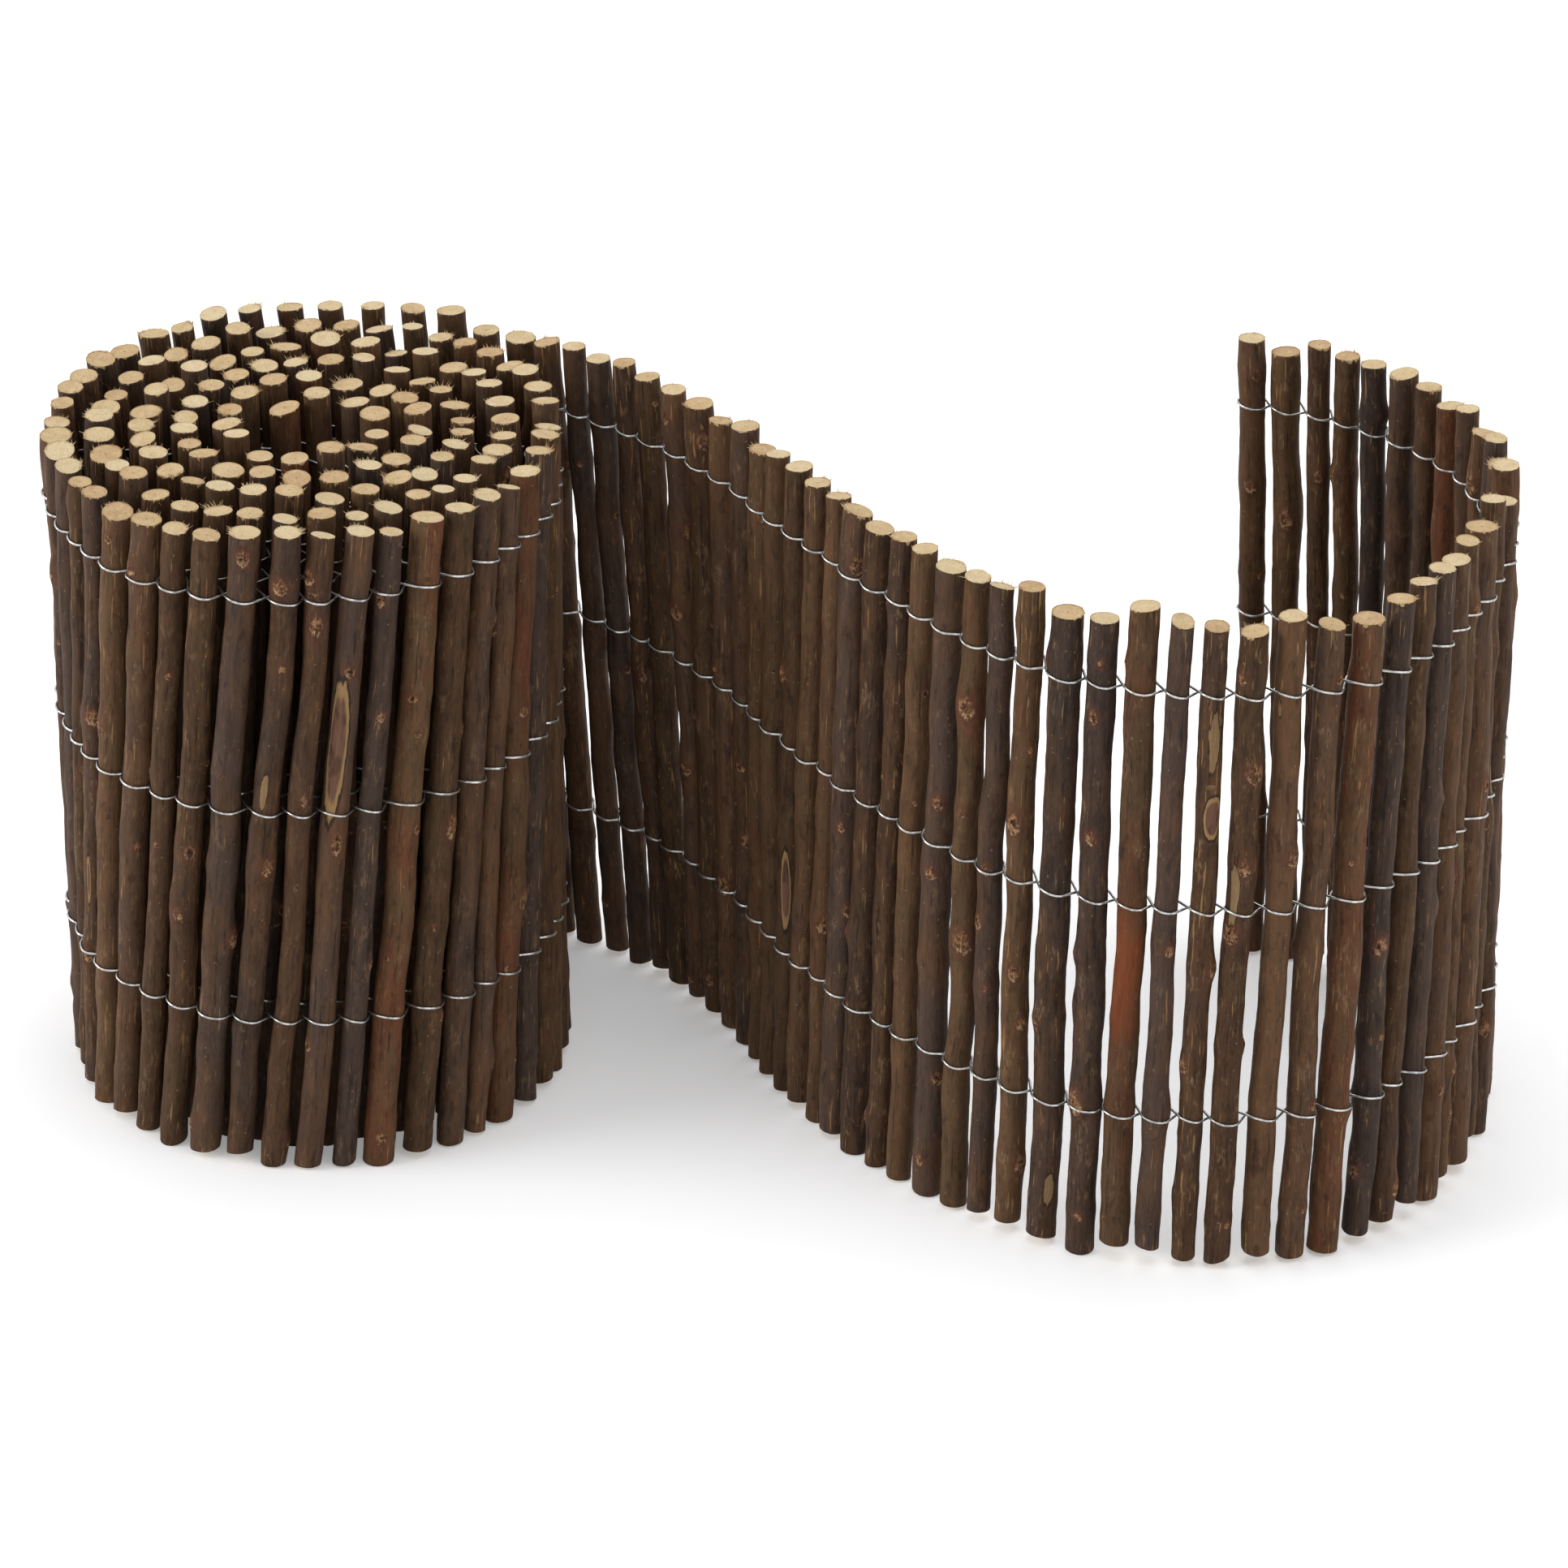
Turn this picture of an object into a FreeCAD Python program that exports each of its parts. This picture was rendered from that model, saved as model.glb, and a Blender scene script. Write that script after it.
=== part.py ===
"""Willow edging roll: brown willow rods held upright by three twisted wires, partly unrolled.

The rods stand on a plan curve that starts at the free end, sweeps round an open hook, runs back
along a diagonal and winds clockwise-in to a tight coil. Each row of wire is two strands that pass
either side of every rod and make half a twist in each gap. All sizes are in millimetres and
degrees, and the finished roll is centred on its footprint with its lowest rods standing at zero.
"""

import FreeCAD, Part
import math
import os
import random

Vector = FreeCAD.Vector

# Driving dimensions: alias, value and what it is
DIMENSIONS = (
    ("rod_length", 300.0, "length of a cut rod, which is the height of the edging"),
    ("length_spread", 2.0, "most that a rod is longer or shorter than that"),
    ("rod_diameter", 12.3, "mean rod, across its bark ridges"),
    ("diameter_spread", 0.21, "share by which the thickest and thinnest rods differ from it"),
    ("rod_sides", 8, "sides of a rod's section"),
    ("rod_slack", 2.4, "most play between two rods beyond what the wires need"),
    ("rod_stray", 0.7, "most that an unrolled rod stands off the plan curve"),
    ("rest_lift", 3.5, "mean height of a rod's foot, as the wires hold most rods off the floor"),
    ("lift_spread", 4.5, "most that a foot is higher or lower than that"),
    ("settled_lift", 2.6, "most that a foot is raised where the rods have slipped down"),
    ("wire_diameter", 1.2, "each strand of galvanised wire"),
    ("wire_sides", 3, "sides of a strand's section"),
    ("wire_clearance", 0.15, "strand to bark"),
    ("lowest_wire_height", 72.0, "lowest row of wire above the floor"),
    ("wire_top_margin", 28.0, "highest row of wire below the rod tops"),
    ("wire_rise", 0.8, "height of a strand above or below its row where two strands cross"),
    ("bore_radius", 20.0, "innermost rods from the coil's centre"),
    ("coil_turns", 5.2, "turns left rolled up"),
    ("turn_gap", 0.9, "wire to wire between two turns"),
    ("coil_depth_ratio", 1.085, "depth of the coil over its width, as it has sagged out of round"),
    ("coil_exit_angle", 82.4, "bearing from the coil's centre at which the roll leaves it"),
    ("lead_off_length", 237.0, "stretch that still curls as the coil does"),
    ("lead_off_turn", -64.6, "its change of heading"),
    ("diagonal_length", 182.0, "stretch that bends back gently"),
    ("diagonal_turn", 32.7, "its change of heading"),
    ("sweep_length", 80.0, "stretch where the curve tightens"),
    ("sweep_turn", 32.3, "its change of heading"),
    ("front_bend_length", 115.0, "tightest bend, at the front of the hook"),
    ("front_bend_turn", 57.6, "its change of heading"),
    ("side_length", 82.0, "outer side of the hook"),
    ("side_turn", 27.2, "its change of heading"),
    ("tail_length", 205.0, "last stretch to the free end"),
    ("tail_turn", 84.9, "its change of heading"),
    ("coil_lean", 34.0, "top of a rod ahead of its foot, towards the bore, on the outer turn"),
    ("lead_off_lean", 10.0, "the same halfway along that stretch"),
    ("diagonal_lean", -4.0, "the same there"),
    ("sweep_lean", -7.0, "the same there"),
    ("front_bend_lean", -6.0, "the same there"),
    ("side_lean", -3.0, "the same there"),
    ("tail_lean", -10.0, "the same there"),
    ("lead_off_tilt", 12.5, "top of a rod left of its foot, facing the coil, halfway along it"),
    ("diagonal_tilt", -8.5, "the same there"),
    ("sweep_tilt", 4.0, "the same there"),
    ("front_bend_tilt", 7.5, "the same there"),
    ("side_tilt", -3.0, "the same there"),
    ("tail_tilt", 2.0, "the same there"),
    ("lean_step", 5.0, "most that the lean changes from one rod to the next"),
    ("plan_step", 0.5, "point to point along the plan curve"),
)

# Unrolled stretches from the coil to the free end
STRETCHES = ("lead_off", "diagonal", "sweep", "front_bend", "side", "tail")
SETTLED_STRETCHES = ("coil", "lead_off", "diagonal")
WIRE_ROWS = ("lower", "middle", "upper")

LEAN_FOLLOW = 0.4
STANDING_SHARE = 0.3
ROD_SEED = 40


def make_sheet(document):
    """Put the driving dimensions in a sheet and hand back their values by name."""
    sheet = document.addObject("Spreadsheet::Sheet", "Sizes")
    for row, (alias, value, note) in enumerate(DIMENSIONS, start=1):
        sheet.set(f"A{row}", alias)
        sheet.set(f"B{row}", str(value))
        sheet.set(f"C{row}", note)
        sheet.setAlias(f"B{row}", alias)
    document.recompute()
    return {alias: float(sheet.get(alias)) for alias, _, _ in DIMENSIONS}


def coil_turn_pitch(sizes):
    """Distance from one turn of the coil to the next."""
    thickest = sizes["rod_diameter"] * (1 + sizes["diameter_spread"])
    return thickest + 2 * sizes["wire_diameter"] + sizes["turn_gap"]


def coil_outer_radius(sizes):
    """Half width of the coil at the line of its outermost rods."""
    return sizes["bore_radius"] + sizes["coil_turns"] * coil_turn_pitch(sizes)


def coil_points(sizes):
    """Plan curve of the coil from its bore outwards, each point with the name of its turn."""
    turn_pitch = coil_turn_pitch(sizes)
    outer_radius = coil_outer_radius(sizes)
    exit_angle = math.radians(sizes["coil_exit_angle"])
    total_angle = sizes["coil_turns"] * 2 * math.pi
    angle_step = sizes["plan_step"] / outer_radius
    points = []
    for index in range(int(total_angle / angle_step), -1, -1):
        wound = index * angle_step
        radius = outer_radius - turn_pitch * wound / (2 * math.pi)
        bearing = exit_angle + wound
        x = radius * math.cos(bearing)
        y = radius * math.sin(bearing) * sizes["coil_depth_ratio"]
        turn = min(int(wound / (2 * math.pi)) + 1, int(sizes["coil_turns"]))
        points.append((Vector(x, y, 0), f"coil_turn_{turn}_rods"))
    return points


def plan_curve(sizes):
    """Plan curve from the free end to the coil's bore: tangent arcs, then the spiral."""
    points = coil_points(sizes)
    place = points[-1][0]
    heading = direction_angle(points[-2][0], place)
    for stretch in STRETCHES:
        steps = round(sizes[f"{stretch}_length"] / sizes["plan_step"])
        step_turn = math.radians(sizes[f"{stretch}_turn"]) / steps
        for _ in range(steps):
            heading += step_turn
            place = place + Vector(math.cos(heading), math.sin(heading), 0) * sizes["plan_step"]
            points.append((place, f"{stretch}_rods"))
    points.reverse()
    return points


def lean_marks(sizes):
    """Distance from the coil, lean and tilt at its edge and halfway along each stretch."""
    marks = [(0.0, sizes["coil_lean"], 0.0)]
    start = 0.0
    for stretch in STRETCHES:
        length = sizes[f"{stretch}_length"]
        marks.append((start + length / 2, sizes[f"{stretch}_lean"], sizes[f"{stretch}_tilt"]))
        start += length
    return marks


def lean_and_tilt(marks, distance):
    """Lean and tilt at a distance from the coil, blended smoothly between the marks."""
    for (near, lean, tilt), (far, next_lean, next_tilt) in zip(marks, marks[1:]):
        if distance < far:
            share = max(0.0, (distance - near) / (far - near))
            blend = share * share * (3 - 2 * share)
            return lean + (next_lean - lean) * blend, tilt + (next_tilt - tilt) * blend
    return marks[-1][1], marks[-1][2]


def distance_to_coil(sizes, index):
    """Length of the plan curve from a point to the coil's edge, negative inside the coil."""
    unrolled = sum(round(sizes[f"{name}_length"] / sizes["plan_step"]) for name in STRETCHES)
    return (unrolled - index) * sizes["plan_step"]


def top_curve(sizes, curve):
    """Curve of the rod tops: the plan curve, moved sideways where the wall of rods tilts."""
    marks = lean_marks(sizes)
    tops = []
    for index, (_, group) in enumerate(curve):
        _, tilt = lean_and_tilt(marks, distance_to_coil(sizes, index))
        tops.append((stand_point(curve, index, tilt), group))
    return tops


def wanted_lean(sizes, curve, index):
    """Lean at a point of the curve; in the coil every rod is turned by the same angle."""
    if curve[index][1].startswith("coil"):
        return sizes["coil_lean"] * curve[index][0].Length / coil_outer_radius(sizes)
    return lean_and_tilt(lean_marks(sizes), distance_to_coil(sizes, index))[0]


def direction_angle(start, end):
    """Heading from one point to another in radians."""
    return math.atan2(end.y - start.y, end.x - start.x)


def unit(vector):
    """The same direction with a length of one."""
    return vector * (1.0 / vector.Length)


def left_of(vector):
    """The direction a quarter turn to the left in plan."""
    return Vector(-vector.y, vector.x, 0)


def limited(value, most):
    """The value held between plus and minus a limit."""
    return max(-most, min(most, value))


def advance(curve, start, spacing):
    """First index on the curve that lies a straight spacing from the point at start."""
    origin = curve[start][0]
    index = start
    while index < len(curve) and curve[index][0].distanceToPoint(origin) < spacing:
        index += 1
    return index


def draw_rod(sizes, number, group):
    """Chance sizes of one rod: its radius, length, lift and stray, the same on every build."""
    chance = random.Random(ROD_SEED + number)
    spread = chance.triangular(-1, 1, 0) * sizes["diameter_spread"]
    lift = max(0.0, sizes["rest_lift"] + chance.uniform(-1, 1) * sizes["lift_spread"])
    if group.startswith(SETTLED_STRETCHES):
        lift = max(0.0, chance.uniform(-STANDING_SHARE, 1) * sizes["settled_lift"])
    stray = 0.0 if group.startswith("coil") else chance.uniform(-1, 1) * sizes["rod_stray"]
    return {
        "number": number,
        "group": group,
        "radius": sizes["rod_diameter"] / 2 * (1 + spread),
        "radius_share": (1 + spread) / 2,
        "trim": chance.uniform(-1, 1),
        "lift": lift,
        "stray": stray,
        "foot_play": chance.random() * sizes["rod_slack"],
        "head_play": chance.random() * sizes["rod_slack"],
    }


def stand_point(curve, index, stray):
    """Point on the curve moved sideways by the stray."""
    before = curve[max(index - 1, 0)][0]
    after = curve[min(index + 1, len(curve) - 1)][0]
    return curve[index][0] + left_of(unit(after - before)) * stray


def lay_out_rods(sizes):
    """Stand rods along the plan curve, feet and heads spaced apart so that the lean wanders."""
    curve = plan_curve(sizes)
    tops = top_curve(sizes, curve)
    least_gap = sizes["wire_diameter"] + 2.5 * sizes["wire_clearance"]
    half_twist = math.asin(sizes["coil_lean"] / 2 / coil_outer_radius(sizes))
    rods = []
    foot = max(0, round(-sizes["tail_lean"] / sizes["plan_step"]))
    head = max(0, round(sizes["tail_lean"] / sizes["plan_step"]))
    while True:
        rod = draw_rod(sizes, len(rods) + 1, curve[foot][1])
        if rods:
            touching = (rods[-1]["radius"] + rod["radius"] + least_gap) / math.cos(half_twist)
            ahead = (head - foot) * sizes["plan_step"]
            missing = wanted_lean(sizes, curve, foot) - ahead
            step = limited(missing * LEAN_FOLLOW, sizes["lean_step"])
            foot = advance(curve, foot, touching + rod["foot_play"] + max(0.0, -step))
            head = advance(tops, head, touching + rod["head_play"] + max(0.0, step))
        if max(foot, head) >= len(curve):
            return rods
        rod["foot"] = stand_point(curve, foot, rod["stray"])
        rod["head"] = stand_point(tops, head, rod["stray"])
        rod["heading"] = direction_angle(curve[max(foot - 1, 0)][0], curve[foot][0])
        rod["length"] = sizes["rod_length"] + rod["trim"] * sizes["length_spread"]
        rods.append(rod)


def make_rod(document, rod):
    """One rod: a prism with level ends whose sides lean from foot to head."""
    prism = document.addObject("Part::Prism", f"Rod{rod['number']:03d}")
    prism.Label = f"rod_{rod['number']:03d}"
    prism.setExpression("Polygon", "Sizes.rod_sides")
    prism.setExpression("Circumradius", f"Sizes.rod_diameter * {rod['radius_share']:.4f}")
    prism.setExpression("Height", f"Sizes.rod_length + Sizes.length_spread * {rod['trim']:.4f}")
    lean = (rod["head"] - rod["foot"]) * (1.0 / rod["length"])
    along = Vector(math.cos(rod["heading"]), math.sin(rod["heading"]), 0)
    prism.FirstAngle = math.degrees(math.atan(lean.dot(along)))
    prism.SecondAngle = math.degrees(math.atan(lean.dot(left_of(along))))
    turn = FreeCAD.Rotation(Vector(0, 0, 1), math.degrees(rod["heading"]))
    prism.Placement = FreeCAD.Placement(rod["foot"] + Vector(0, 0, rod["lift"]), turn)
    return prism


def make_rod_groups(document, rods):
    """Rods of each stretch and turn gathered as solids that don't touch."""
    groups = {}
    for rod in rods:
        groups.setdefault(rod["group"], []).append(make_rod(document, rod))
    compounds = []
    for name, prisms in groups.items():
        compound = document.addObject("Part::Compound", name)
        compound.Label = name
        compound.Links = prisms
        compounds.append(compound)
    return compounds


def rod_centres(rods, height):
    """Centres of all rods where a level plane cuts them."""
    centres = []
    for rod in rods:
        share = (height - rod["lift"]) / rod["length"]
        centres.append(rod["foot"] + (rod["head"] - rod["foot"]) * share)
    return centres


def tangent_normal(start, end, along, side):
    """Normal of the line that touches two circles, from how far apart they lie along it."""
    span = unit(end - start)
    share = along / (end - start).Length
    return span * share + left_of(span) * (side * math.sqrt(1 - share * share))


def tangents_meet(centre, reach, first, second):
    """Point where two tangents of one circle cross, from their normals."""
    return centre + (first + second) * (reach / (1 + first.dot(second)))


def strand_points(sizes, rods, height, side):
    """Corners of one strand, twisted in every gap until the coil hides it, then straight on.

    The side is +1 or -1: the side of the first rod that the strand passes.
    """
    clear = sizes["wire_diameter"] / 2 + sizes["wire_clearance"]
    centres = rod_centres(rods, height)
    reaches = [rod["radius"] + clear for rod in rods]
    rise = Vector(0, 0, sizes["wire_rise"])
    last_twist = max(i for i, rod in enumerate(rods) if not hidden_turn(rod["group"]))
    entry = unit(centres[0] - centres[1])
    points = [centres[0] + entry * reaches[0] + rise * side]
    for index, (centre, reach) in enumerate(zip(centres, reaches)):
        before = centres[max(index - 1, 0)]
        after = centres[min(index + 1, len(centres) - 1)]
        face = left_of(unit(after - before)) * side
        if index < len(centres) - 1:
            crosses = index < last_twist
            other = reaches[index + 1]
            along = reach + other if crosses else reach - other
            leave = tangent_normal(centre, centres[index + 1], along, side)
        if index <= last_twist:
            points.append(tangents_meet(centre, reach, entry, face) + rise * side)
        if index < last_twist:
            points.append(tangents_meet(centre, reach, face, leave) - rise * side)
            side = -side
            entry = leave * -1
        else:
            points.append(tangents_meet(centre, reach, entry if index > last_twist else face, leave)
                          + rise * side)
            entry = leave
    return [point + Vector(0, 0, height) for point in points]


def hidden_turn(group):
    """Whether a stretch is inside the coil's outer turn."""
    return group.startswith("coil") and group != "coil_turn_1_rods"


def mitred_rings(points, radius, sides):
    """Section rings of a bent wire, each in the plane that halves its corner."""
    runs = [unit(end - start) for start, end in zip(points, points[1:])]
    flat = left_of(unit(Vector(runs[0].x, runs[0].y, 0)))
    upright = runs[0].cross(flat)
    ring = []
    for corner in range(sides):
        angle = 2 * math.pi * corner / sides
        ring.append(points[0] + (flat * math.cos(angle) + upright * math.sin(angle)) * radius)
    rings = [ring]
    for index in range(1, len(points)):
        run = runs[index - 1]
        cut = unit(run + runs[index]) if index < len(runs) else run
        ring = [spot + run * ((points[index] - spot).dot(cut) / run.dot(cut)) for spot in ring]
        rings.append(ring)
    return rings


def wire_solid(points, radius, sides):
    """Solid of a wire with flat sides along straight runs."""
    rings = mitred_rings(points, radius, sides)
    faces = [flat_face(rings[0]), flat_face(rings[-1])]
    for near, far in zip(rings, rings[1:]):
        for corner in range(sides):
            following = (corner + 1) % sides
            faces.append(flat_face([near[corner], near[following], far[following], far[corner]]))
    return Part.Solid(Part.Shell(faces))


def flat_face(corners):
    """A flat face from its corners."""
    return Part.Face(Part.makePolygon(corners + [corners[0]]))


def make_wires(document, sizes, rods):
    """Both strands of each row of wire, worked out from the rods that they hold."""
    wires = []
    lowest = sizes["lowest_wire_height"]
    highest = sizes["rod_length"] - sizes["wire_top_margin"]
    for row, row_name in enumerate(WIRE_ROWS):
        height = lowest + (highest - lowest) * row / (len(WIRE_ROWS) - 1)
        for strand_name, side in (("first", 1), ("second", -1)):
            points = strand_points(sizes, rods, height, side)
            wire = document.addObject("Part::Feature", f"{row_name}_wire_{strand_name}_strand")
            wire.Label = wire.Name
            wire.Shape = wire_solid(points, sizes["wire_diameter"] / 2, int(sizes["wire_sides"]))
            wires.append(wire)
    return wires


def centre_on_floor(parts):
    """Move all parts so that the middle of the footprint is the origin."""
    box = FreeCAD.BoundBox()
    for part in parts:
        box.add(part.Shape.BoundBox)
    shift = Vector(-box.Center.x, -box.Center.y, 0)
    for part in parts:
        part.Placement = FreeCAD.Placement(shift, FreeCAD.Rotation())


def check_document(document, parts):
    """Stop if any object failed or any part is missing or broken."""
    for item in document.Objects:
        if "Invalid" in item.State or "Error" in item.State:
            raise RuntimeError(f"{item.Label} failed: {item.State}")
    for part in parts:
        shape = part.Shape
        if shape.isNull() or not shape.isValid() or not shape.Solids:
            raise RuntimeError(f"{part.Label} has no sound solid")
        if any(solid.Volume <= 0 for solid in shape.Solids):
            raise RuntimeError(f"{part.Label} has a solid that is inside out")


def main():
    """Build the roll and write one file for each named part."""
    document = FreeCAD.newDocument("WillowEdgingRoll")
    sizes = make_sheet(document)
    rods = lay_out_rods(sizes)
    parts = make_rod_groups(document, rods)
    parts += make_wires(document, sizes, rods)
    document.recompute()
    centre_on_floor(parts)
    document.recompute()
    check_document(document, parts)
    os.makedirs("parts", exist_ok=True)
    for part in parts:
        part.Shape.exportStep(f"parts/{part.Label}.step")
    print(f"{len(rods)} rods in {len(parts)} parts")


main()
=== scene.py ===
"""Looks of a partly unrolled willow edging roll: bark, sawn ends and twisted galvanised wire."""

from __future__ import annotations

import logging
import math
import random
from dataclasses import dataclass, field
from enum import Enum
from typing import Any, Iterator

import bmesh
import bpy
from mathutils import Matrix, Vector, noise


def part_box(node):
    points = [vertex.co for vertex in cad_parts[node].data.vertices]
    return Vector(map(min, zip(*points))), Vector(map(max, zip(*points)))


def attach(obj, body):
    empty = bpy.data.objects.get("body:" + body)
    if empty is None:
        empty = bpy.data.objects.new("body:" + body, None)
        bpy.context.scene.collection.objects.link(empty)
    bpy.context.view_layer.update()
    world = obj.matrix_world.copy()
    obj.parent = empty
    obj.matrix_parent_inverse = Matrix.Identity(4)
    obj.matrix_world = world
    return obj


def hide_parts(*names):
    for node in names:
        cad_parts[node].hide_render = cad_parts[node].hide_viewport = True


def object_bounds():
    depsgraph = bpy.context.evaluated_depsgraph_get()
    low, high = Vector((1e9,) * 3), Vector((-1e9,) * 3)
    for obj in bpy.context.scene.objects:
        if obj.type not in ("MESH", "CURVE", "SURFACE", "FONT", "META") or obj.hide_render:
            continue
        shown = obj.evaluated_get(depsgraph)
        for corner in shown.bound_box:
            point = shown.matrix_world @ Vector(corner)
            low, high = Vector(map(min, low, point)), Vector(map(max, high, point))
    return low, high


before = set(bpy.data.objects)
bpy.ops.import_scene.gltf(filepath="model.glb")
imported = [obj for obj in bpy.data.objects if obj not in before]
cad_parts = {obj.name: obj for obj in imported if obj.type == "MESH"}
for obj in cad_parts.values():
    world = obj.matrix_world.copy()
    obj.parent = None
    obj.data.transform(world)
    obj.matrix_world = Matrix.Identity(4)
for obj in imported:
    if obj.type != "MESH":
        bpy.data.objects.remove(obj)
CAD_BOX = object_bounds()

log = logging.getLogger("willow_edging")

MM = 0.001
FULL_TURN = 2 * math.pi
BODY = "root"
SAWN_FACES = 1

Colour = tuple[float, float, float, float]
Triple = tuple[float, float, float]


class Stretch(Enum):
    """Stretches of the roll in order from its free end to the bore of the coil."""

    TAIL = "tail_rods"
    SIDE = "side_rods"
    FRONT_BEND = "front_bend_rods"
    SWEEP = "sweep_rods"
    DIAGONAL = "diagonal_rods"
    LEAD_OFF = "lead_off_rods"
    TURN_1 = "coil_turn_1_rods"
    TURN_2 = "coil_turn_2_rods"
    TURN_3 = "coil_turn_3_rods"
    TURN_4 = "coil_turn_4_rods"
    TURN_5 = "coil_turn_5_rods"


# Shader expressions


class Term:
    """A shader output that takes part in Python arithmetic."""

    def __init__(self, graph: Graph, socket: Any) -> None:
        """Keep the output and the graph that it belongs to."""
        self.graph = graph
        self.socket = socket

    def _math(self, operation: str, *values: Any, clamp: bool = False) -> Term:
        """Add one Math node over the given values."""
        settings = {"operation": operation, "use_clamp": clamp}
        return self.graph.add("ShaderNodeMath", settings, dict(enumerate(values)))

    def __add__(self, other: Any) -> Term:
        """Sum."""
        return self._math("ADD", self, other)

    __radd__ = __add__

    def __sub__(self, other: Any) -> Term:
        """Difference."""
        return self._math("SUBTRACT", self, other)

    def __rsub__(self, other: Any) -> Term:
        """Difference from a number."""
        return self._math("SUBTRACT", other, self)

    def __mul__(self, other: Any) -> Term:
        """Product."""
        return self._math("MULTIPLY", self, other)

    __rmul__ = __mul__

    def clamp(self) -> Term:
        """Hold between 0 and 1."""
        return self._math("ADD", self, 0.0, clamp=True)

    def above(self, low: float, high: float) -> Term:
        """Make a smooth step.

        Args:
            low: where the step is 0.
            high: where the step is 1, which may lie under low.

        Returns:
            The step.
        """
        flip = low > high
        sockets = {"Value": self, "From Min": min(low, high), "From Max": max(low, high),
                   "To Min": float(flip), "To Max": float(not flip)}
        return self.graph.add("ShaderNodeMapRange", {"interpolation_type": "SMOOTHSTEP"}, sockets)


class Graph:
    """Node tree of one material or world, filled through a single node-making method."""

    def __init__(self, owner: bpy.types.Material | bpy.types.World) -> None:
        """Empty the owner's tree; base is the colour laid on so far."""
        owner.use_nodes = True
        self.owner = owner
        self.tree = owner.node_tree
        self.tree.nodes.clear()
        self.base: Any = None

    def add(self, kind: str, settings: dict[str, Any] | None = None,
            sockets: dict[Any, Any] | None = None, out: int = 0) -> Term:
        """Add a node.

        Args:
            kind: Blender's type name of the node.
            settings: its properties, set first; "stops" fills a colour ramp.
            sockets: values or terms of its inputs, by name or index.
            out: index of the output handed back.

        Returns:
            That output as a term.
        """
        node = self.tree.nodes.new(kind)
        for key, value in (settings or {}).items():
            if key == "stops":
                self._fill_ramp(node.color_ramp, value)
            else:
                setattr(node, key, value)
        for key, value in (sockets or {}).items():
            if isinstance(value, Term):
                self.tree.links.new(value.socket, node.inputs[key])
            else:
                node.inputs[key].default_value = value
        return Term(self, node.outputs[out] if len(node.outputs) else None)

    @staticmethod
    def _fill_ramp(ramp: bpy.types.ColorRamp, stops: list[tuple[float, Colour]]) -> None:
        """Give a colour ramp its stops."""
        while len(ramp.elements) < len(stops):
            ramp.elements.new(1.0)
        for element, (place, colour) in zip(ramp.elements, stops):
            element.position = place
            element.color = colour

    def attribute(self, name: str, out: int = 1) -> Term:
        """Read a mesh attribute: output 0 is its colour, 1 its vector, 2 its factor, 3 its alpha."""
        return self.add("ShaderNodeAttribute", {"attribute_name": name}, out=out)

    def channels(self, vector: Term) -> tuple[Term, ...]:
        """Split a vector into its three numbers."""
        split = self.add("ShaderNodeSeparateXYZ", sockets={0: vector}).socket.node
        return tuple(Term(self, output) for output in split.outputs)

    def stretched(self, vector: Term, scale: Triple) -> Term:
        """Scale a vector along its axes."""
        return self.add("ShaderNodeVectorMath", {"operation": "MULTIPLY"}, {0: vector, 1: scale})

    def length(self, vector: Term) -> Term:
        """Length of a vector."""
        return self.add("ShaderNodeVectorMath", {"operation": "LENGTH"}, {0: vector}, out=1)

    def noise(self, vector: Term, scale: Triple, detail: float, rough: float) -> Term:
        """Fractal noise between about 0 and 1."""
        sockets = {"Vector": self.stretched(vector, scale), "Scale": 1.0, "Detail": detail,
                   "Roughness": rough}
        return self.add("ShaderNodeTexNoise", None, sockets)

    def cells(self, vector: Term, out: int) -> Term:
        """Scattered cells of unit size: output 0 is the distance to a cell's middle, 1 its colour."""
        return self.add("ShaderNodeTexVoronoi", None, {"Vector": vector, "Scale": 1.0}, out=out)

    def ramp(self, factor: Term, stops: list[tuple[float, Colour]]) -> Term:
        """Look a number up in a colour ramp."""
        return self.add("ShaderNodeValToRGB", {"stops": stops}, {0: factor})

    def blend(self, factor: Any, first: Any, second: Any, kind: str = "MIX") -> Term:
        """Mix two colours."""
        settings = {"data_type": "RGBA", "blend_type": kind}
        return self.add("ShaderNodeMix", settings, {0: factor, 6: first, 7: second}, out=2)

    def shaded(self, colour: Term, level: Term) -> Term:
        """Multiply a colour by a level of light."""
        grey = self.add("ShaderNodeCombineXYZ", None, {0: level, 1: level, 2: level})
        return self.blend(1.0, colour, grey, "MULTIPLY")

    def lay(self, factor: Term, colour: Any) -> None:
        """Lay a colour over the base."""
        self.base = self.blend(factor, self.base, colour)

    def shown_directly(self) -> Term:
        """One for what the camera sees itself, in a reflection or through glass, else zero."""
        rays = self.add("ShaderNodeLightPath").socket.node.outputs
        seen = Term(self, rays["Is Camera Ray"]) + Term(self, rays["Is Glossy Ray"])
        return (seen + Term(self, rays["Is Transmission Ray"])).clamp()

    def bump(self, height: Term, strength: float, distance: float) -> Term:
        """Bend the normal by a height."""
        sockets = {"Height": height, "Strength": strength, "Distance": distance}
        return self.add("ShaderNodeBump", None, sockets)

    def finish(self, sockets: dict[str, Any]) -> bpy.types.Material:
        """End the tree in a Principled surface.

        Args:
            sockets: values or terms of its inputs beside the base colour.

        Returns:
            The material.
        """
        surface = self.add("ShaderNodeBsdfPrincipled", None, {"Base Color": self.base, **sockets})
        self.add("ShaderNodeOutputMaterial", None, {"Surface": surface})
        return self.owner


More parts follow.
